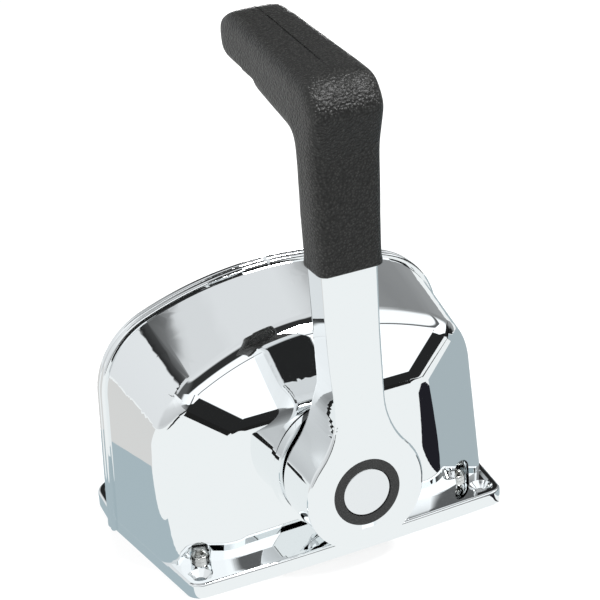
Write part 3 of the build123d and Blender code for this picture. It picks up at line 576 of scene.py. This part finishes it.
leverFront = {
    # front face of the CAD lever above the hub, and the long gentle run that takes its place
    "cadFace": [(80.0, -79.5), (84.0, -79.32), (90.0, -78.65), (98.0, -77.36), (104.0, -76.66), (108.0, -76.5)],
    "runFrom": 78.0, "runTo": 134.0, "hubFace": -79.5, "armFace": -76.5,
    "step": 2.0,
    "stillY": -70.0,                           # between the front face and the back face
    # how far the arm's back face moves back, and how much wider the arm gets, by height
    "deeper": [(100.0, 0.0), (104.0, 1.4), (108.0, 3.0), (114.0, 4.5)],
    "cadBack": [(88.0, -51.1), (96.0, -54.7), (104.0, -58.9), (108.0, -60.5), (112.0, -61.6), (116.0, -62.0)],
    "wider": [(86.0, 1.0), (112.0, 1.06), (160.0, 1.12)],
    "shoulder": 166.6, "shoulderFrom": 150.0, "shoulderDrop": 4.0, "tangHalf": 8.2,
}


def levelBetween(points, at):
    if at <= points[0][0]:
        return points[0][1]
    for (z1, y1), (z2, y2) in zip(points, points[1:]):
        if at <= z2:
            return y1 + (y2 - y1) * (at - z1) / (z2 - z1)
    return points[-1][1]


def makeLeverCasting():
    casting = mergedCopy("lever_arm", "leverCasting")
    setup = leverFront
    bm = bmesh.new()
    bm.from_mesh(casting.data)
    z = setup["runFrom"]
    while z <= setup["runTo"]:
        bmesh.ops.bisect_plane(bm, geom=bm.verts[:] + bm.edges[:] + bm.faces[:], dist=1e-7,
                               plane_co=(0, 0, z * mm), plane_no=(0, 0, 1))
        z += setup["step"]
    for vert in bm.verts:
        z, y = vert.co.z / mm, vert.co.y / mm
        if setup["runFrom"] < z < setup["shoulder"]:
            if y > setup["stillY"]:
                share = (y - setup["stillY"]) / (levelBetween(setup["cadBack"], z) - setup["stillY"])
                vert.co.y += levelBetween(setup["deeper"], z) * min(1.0, share) * mm
            if abs(vert.co.x) > setup["tangHalf"] * mm:
                vert.co.x *= levelBetween(setup["wider"], z)
            if z > setup["shoulderFrom"]:
                vert.co.z -= setup["shoulderDrop"] * mm
        if not setup["runFrom"] < z < setup["runTo"] or y > setup["stillY"]:
            continue
        share = (z - setup["runFrom"]) / (setup["runTo"] - setup["runFrom"])
        share = share * share * (3 - 2 * share)
        level = setup["hubFace"] + (setup["armFace"] - setup["hubFace"]) * share
        cadLevel = levelBetween(setup["cadFace"], z)
        weight = min(1.0, (setup["stillY"] - y) / (setup["stillY"] - cadLevel - 2.6))
        vert.co.y += (level - cadLevel) * weight * mm
    bm.to_mesh(casting.data)
    bm.free()
    shadeSmooth(casting, 32.0)
    standIn(casting, "lever_arm", "lever")


makeLeverCasting()
print("lever casting made")

smoothPieces = {
    "rear_cover": ("rearCasting", "housing", 40.0),
    "warmup_button": ("buttonDisc", "button", 30.0),
}
for nodeName, (pieceName, body, sharpAngle) in smoothPieces.items():
    piece = mergedCopy(nodeName, pieceName)
    if nodeName == "rear_cover":
        addBead(piece, beadForm["rearY"])
    shadeSmooth(piece, sharpAngle)
    standIn(piece, nodeName, body)
print("smooth castings made:", len(smoothPieces))

# grip: the CAD form remeshed, its corners worn round as the moulding's are, with the parting line on its head
gripMould = {
    "voxel": 0.8, "rounds": 55,
    "tipY": -2.0, "tipRounds": 35,             # the far end of the head is rounder
    "screwHole": (-70.0, 192.0, 6.5),          # left sharp: in front of this y, height and radius
    "wider": [(-60.0, 1.09), (-15.0, 1.02)],   # by y, so the shank and the knee
    "longer": [(-10.0, 0.0), (24.0, 2.0)],     # the head, by y
    "ledge": (-16.0, -14.5, 1.8),              # step under the head: from y, to y, height
    "deeper": [(190.0, 1.1), (214.0, 1.0)], "frontY": -80.0,
    "footDrop": [(166.0, 4.0), (188.0, 0.0)],  # the foot reaches down over the arm
    "seamHalf": 0.4, "seamDepth": 0.9,        # parting line, a fine groove along the top of the head
    "seamFrom": -70.0, "seamTo": 30.0, "seamFade": 18.0,
}


def makeGrip():
    setup = gripMould
    grip = mergedCopy("grip", "gripMoulding")
    remesh = grip.modifiers.new("even", "REMESH")
    remesh.mode = "VOXEL"
    remesh.voxel_size = setup["voxel"] * mm
    applyModifiers(grip)
    bm = bmesh.new()
    bm.from_mesh(grip.data)
    foot = (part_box("grip")[0].z + 2.5 * mm)
    holeY, holeZ, holeR = (value * mm for value in setup["screwHole"])
    free = [vert for vert in bm.verts if vert.co.z > foot
            and (vert.co.y < holeY or math.hypot(vert.co.x, vert.co.z - holeZ) > holeR)]
    for i in range(setup["rounds"]):
        bmesh.ops.smooth_vert(bm, verts=free, factor=0.5, use_axis_x=True, use_axis_y=True, use_axis_z=True)
    tip = [vert for vert in free if vert.co.y > setup["tipY"] * mm]
    for i in range(setup["tipRounds"]):
        bmesh.ops.smooth_vert(bm, verts=tip, factor=0.5, use_axis_x=True, use_axis_y=True, use_axis_z=True)
    bm.normal_update()
    ledgeFrom, ledgeTo, ledgeHeight = setup["ledge"]
    for vert in bm.verts:
        z, y = vert.co.z / mm, vert.co.y / mm
        if y > ledgeFrom and vert.normal.z < -0.1:
            share = min(1.0, (y - ledgeFrom) / (ledgeTo - ledgeFrom)) * min(1.0, -vert.normal.z / 0.5)
            vert.co.z += ledgeHeight * share * mm
        vert.co.y += levelBetween(setup["longer"], y) * mm
        vert.co.x *= levelBetween(setup["wider"], y)
        vert.co.y += (vert.co.y - setup["frontY"] * mm) * (levelBetween(setup["deeper"], z) - 1)
        vert.co.z -= levelBetween(setup["footDrop"], z) * mm
    for x in (-setup["seamHalf"], 0.0, setup["seamHalf"]):
        bmesh.ops.bisect_plane(bm, geom=bm.verts[:] + bm.edges[:] + bm.faces[:], dist=1e-7,
                               plane_co=(x * mm, 0, 0), plane_no=(1, 0, 0))
    bm.normal_update()
    for vert in bm.verts:
        y = vert.co.y / mm
        if abs(vert.co.x) > 0.02 * mm or vert.normal.z < 0.35 or not setup["seamFrom"] < y < setup["seamTo"]:
            continue
        fade = min(1.0, (y - setup["seamFrom"]) / setup["seamFade"])
        vert.co -= vert.normal * setup["seamDepth"] * fade * mm
    bm.to_mesh(grip.data)
    bm.free()
    shadeSmooth(grip, 60.0)
    standIn(grip, "grip", "lever")


makeGrip()
print("grip made")


# stage: floor, cards and light

# flat sheet of the studio; seen names the rays that meet it
def makePanel(name, corners, material, seen):
    mesh = bpy.data.meshes.new(name)
    bm = bmesh.new()
    bm.faces.new([bm.verts.new(Vector(corner) * mm) for corner in corners])
    bm.to_mesh(mesh)
    bm.free()
    panel = bpy.data.objects.new(name, mesh)
    bpy.context.scene.collection.objects.link(panel)
    mesh.materials.append(material)
    panel.visible_camera = "camera" in seen
    panel.visible_diffuse = "diffuse" in seen
    panel.visible_glossy = "glossy" in seen
    panel.visible_transmission = "glossy" in seen
    panel.visible_shadow = "shadow" in seen
    return panel


def glowing(name, colour, strength=1.0):
    material = newMaterial(name)
    tree = material.node_tree
    emit = addNode(tree, "ShaderNodeEmission", {"Color": (*colour, 1), "Strength": strength})
    out = addNode(tree, "ShaderNodeOutputMaterial")
    tree.links.new(emit.outputs[0], out.inputs["Surface"])
    return material


floorSetup = {
    "size": 4000.0,
    "paint": 0.85,
    "seenWhite": 1.0,          # what the camera sees
    "mirrored": (0.90, 0.93, 0.935),
    "shadowShare": 0.3,        # how much of the painted floor, with its shadow, shows through the white
}


def makeFloor(setup):
    material = newMaterial("floorPaint")
    tree = material.node_tree
    link = tree.links.new
    paint = addNode(tree, "ShaderNodeBsdfDiffuse", {"Color": (setup["paint"],) * 3 + (1,)})
    white = addNode(tree, "ShaderNodeEmission", {"Color": (1, 1, 1, 1), "Strength": setup["seenWhite"]})
    mirrored = addNode(tree, "ShaderNodeEmission", {"Color": (*setup["mirrored"], 1), "Strength": 1.0})
    rays = addNode(tree, "ShaderNodeLightPath")
    cameraShare = addMath(tree, "MULTIPLY", rays.outputs["Is Camera Ray"], 1 - setup["shadowShare"])
    glossShare = addMath(tree, "MAXIMUM", rays.outputs["Is Glossy Ray"], rays.outputs["Is Transmission Ray"])
    first = addNode(tree, "ShaderNodeMixShader")
    link(cameraShare, first.inputs[0])
    link(paint.outputs[0], first.inputs[1])
    link(white.outputs[0], first.inputs[2])
    second = addNode(tree, "ShaderNodeMixShader")
    link(glossShare, second.inputs[0])
    link(first.outputs[0], second.inputs[1])
    link(mirrored.outputs[0], second.inputs[2])
    out = addNode(tree, "ShaderNodeOutputMaterial")
    link(second.outputs[0], out.inputs["Surface"])
    half = setup["size"] / 2
    return makePanel("studioFloor", [(-half, -half, -0.05), (half, -half, -0.05), (half, half, -0.05),
                                     (-half, half, -0.05)], material, "camera diffuse glossy shadow")


makeFloor(floorSetup)

skySetup = {
    "white": 1.0,              # backdrop behind the object
    "fill": 0.85,              # plain light that the sky gives to matt surfaces
    # brightness by height above the horizon, in degrees, as polished metal shows it
    "front": [(-90, 0.9), (-9, 0.85), (-7, 0.02), (19, 0.02), (20.5, 1.25), (35.5, 1.25), (36.5, 0.12),
              (39, 0.12), (40, 1.1), (58, 1.1), (60, 0.03), (77, 0.03), (81, 0.8), (90, 0.75)],
    "frontLeft": [(-90, 0.9), (-9, 0.85), (2, 0.6), (20, 0.7), (35, 0.95), (58, 1.0), (60, 0.1), (77, 0.1),
                  (81, 0.8), (90, 0.75)],
    "back": [(-90, 0.75), (6, 0.75), (8, 0.02), (42, 0.02), (46, 0.78), (90, 0.75)],
    "left": [(-90, 0.75), (50.5, 0.82), (51.5, 0.02), (57, 0.06), (61, 0.2), (62, 0.72), (90, 0.75)],
    "right": [(-90, 0.4), (10, 0.32), (32, 0.25), (46, 0.32), (53, 0.62), (62, 0.72), (90, 0.75)],
    "tint": (0.97, 1.0, 1.02),
}


def makeSky(setup):
    world = bpy.data.worlds.new("studio")
    bpy.context.scene.world = world
    world.use_nodes = True
    tree = world.node_tree
    tree.nodes.clear()
    link = tree.links.new
    place = addNode(tree, "ShaderNodeTexCoord")
    parts = addNode(tree, "ShaderNodeSeparateXYZ")
    link(place.outputs["Generated"], parts.inputs[0])
    height = addMath(tree, "MULTIPLY_ADD", addMath(tree, "ARCSINE", parts.outputs["Z"]), 1 / math.pi, 0.5)

    def heightRamp(stops):
        ramp = addNode(tree, "ShaderNodeValToRGB")
        link(height, ramp.inputs["Fac"])
        marks = ramp.color_ramp.elements
        while len(marks) < len(stops):
            marks.new(0.5)
        for mark, (degrees, value) in zip(marks, stops):
            mark.position = (degrees + 90) / 180
            mark.color = (*(value * t for t in setup["tint"]), 1)
        return ramp.outputs["Color"]

    # share that rises from 0 to 1 as a direction turns to (x, y)
    def towards(x, y, low, high):
        length = math.hypot(x, y)
        along = addMath(tree, "MULTIPLY_ADD", parts.outputs["X"], x / length,
                        addMath(tree, "MULTIPLY", parts.outputs["Y"], y / length))
        flat = addMath(tree, "POWER", addMath(tree, "SUBTRACT", 1.0001, addMath(
            tree, "MULTIPLY", parts.outputs["Z"], parts.outputs["Z"])), 0.5)
        return addMath(tree, "MULTIPLY_ADD", addMath(tree, "DIVIDE", along, flat), 1 / (high - low),
                       -low / (high - low))

    def blend(share, first, second):
        mix = addNode(tree, "ShaderNodeMix", data_type="RGBA", clamp_factor=True)
        for socket, index in ((share, 0), (first, 6), (second, 7)):
            link(socket, mix.inputs[index])
        return mix.outputs[2]

    front, frontLeft, left, right, back = (
        heightRamp(setup[k]) for k in ("front", "frontLeft", "left", "right", "back"))
    sides = blend(towards(1, 0.2, -0.1, 0.25), left, right)
    sides = blend(towards(0.364, 0.83, 0.93, 0.97), sides, back)
    fronts = blend(towards(1, 0, -0.55, -0.15), frontLeft, front)
    whole = blend(towards(0.1, -1, -0.1, 0.1), sides, fronts)
    rays = addNode(tree, "ShaderNodeLightPath")
    mirrored = addMath(tree, "MAXIMUM", rays.outputs["Is Glossy Ray"], rays.outputs["Is Transmission Ray"])
    plain = addNode(tree, "ShaderNodeBackground", {"Color": (1, 1, 1, 1), "Strength": setup["fill"]})
    reflected = addNode(tree, "ShaderNodeBackground", {"Strength": 1.0})
    link(whole, reflected.inputs["Color"])
    backdrop = addNode(tree, "ShaderNodeBackground", {"Color": (1, 1, 1, 1), "Strength": setup["white"]})
    first = addNode(tree, "ShaderNodeMixShader")
    link(mirrored, first.inputs[0])
    link(plain.outputs[0], first.inputs[1])
    link(reflected.outputs[0], first.inputs[2])
    second = addNode(tree, "ShaderNodeMixShader")
    link(rays.outputs["Is Camera Ray"], second.inputs[0])
    link(first.outputs[0], second.inputs[1])
    link(backdrop.outputs[0], second.inputs[2])
    out = addNode(tree, "ShaderNodeOutputWorld")
    link(second.outputs[0], out.inputs["Surface"])


makeSky(skySetup)

mirroredPanels = {
    # glowing panels laid round the object, seen only by mirrored rays: painted reflections, grey-blue and near-black,
    # that its polished sides show
    "nearLeftMirroredPanel": ([(-157, -60), (-50, -60), (-50, 160), (-157, 130)], (0.40, 0.49, 0.53)),
    "farLeftMirroredPanel": ([(-1500, 60), (-157, 60), (-157, 130), (-50, 160), (-50, 900), (-1500, 900)], (0.69, 0.69, 0.68)),
    "rightMirroredPanel": ([(92, 60), (92, -70), (420, -240), (1500, -420), (1500, 300), (92, 300)], (0.40, 0.47, 0.50)),
    "rightStrip": ([(86, -58), (92, -70), (205, -128), (190, -165), (150, -165), (86, -112)], (0.015, 0.015, 0.02)),
    "roomFront": ([(-1100, -2000), (900, -2000), (620, -470), (-620, -470)], (0.015, 0.015, 0.015)),
}
# each panel glows with its own colour and only mirrored rays meet it, so it adds a painted reflection to the polished
# metal
for cardName, (corners, colour) in mirroredPanels.items():
    makePanel(cardName, [(x, y, 0.1) for x, y in corners], glowing(cardName + "Face", colour), "glossy")

lamps = {
    "keyLamp": {"at": (255, -347, 814), "size": 200, "power": 6.0, "mirrored": True},
    "fillLamp": {"at": (-950, -60, 330), "size": 500, "power": 11.0, "mirrored": False},
    "rimLamp": {"at": (300, 700, 900), "size": 500, "power": 9.0, "mirrored": False},
    "gripLamp": {"at": (420, 950, 170), "size": 240, "power": 3.0, "mirrored": True},
}


def makeLamp(name, setup):
    data = bpy.data.lights.new(name, "AREA")
    data.size = setup["size"] * mm
    data.energy = setup["power"]
    lamp = bpy.data.objects.new(name, data)
    lamp.visible_glossy = setup["mirrored"]
    bpy.context.scene.collection.objects.link(lamp)
    place = Vector(setup["at"]) * mm
    aim = (Vector((0, -10, 90)) * mm - place).normalized()
    lamp.matrix_world = Matrix.Translation(place) @ aim.to_track_quat("-Z", "Y").to_matrix().to_4x4()


for lampName, setup in lamps.items():
    makeLamp(lampName, setup)

bpy.context.scene.view_settings.view_transform = "Standard"
print("studio made")
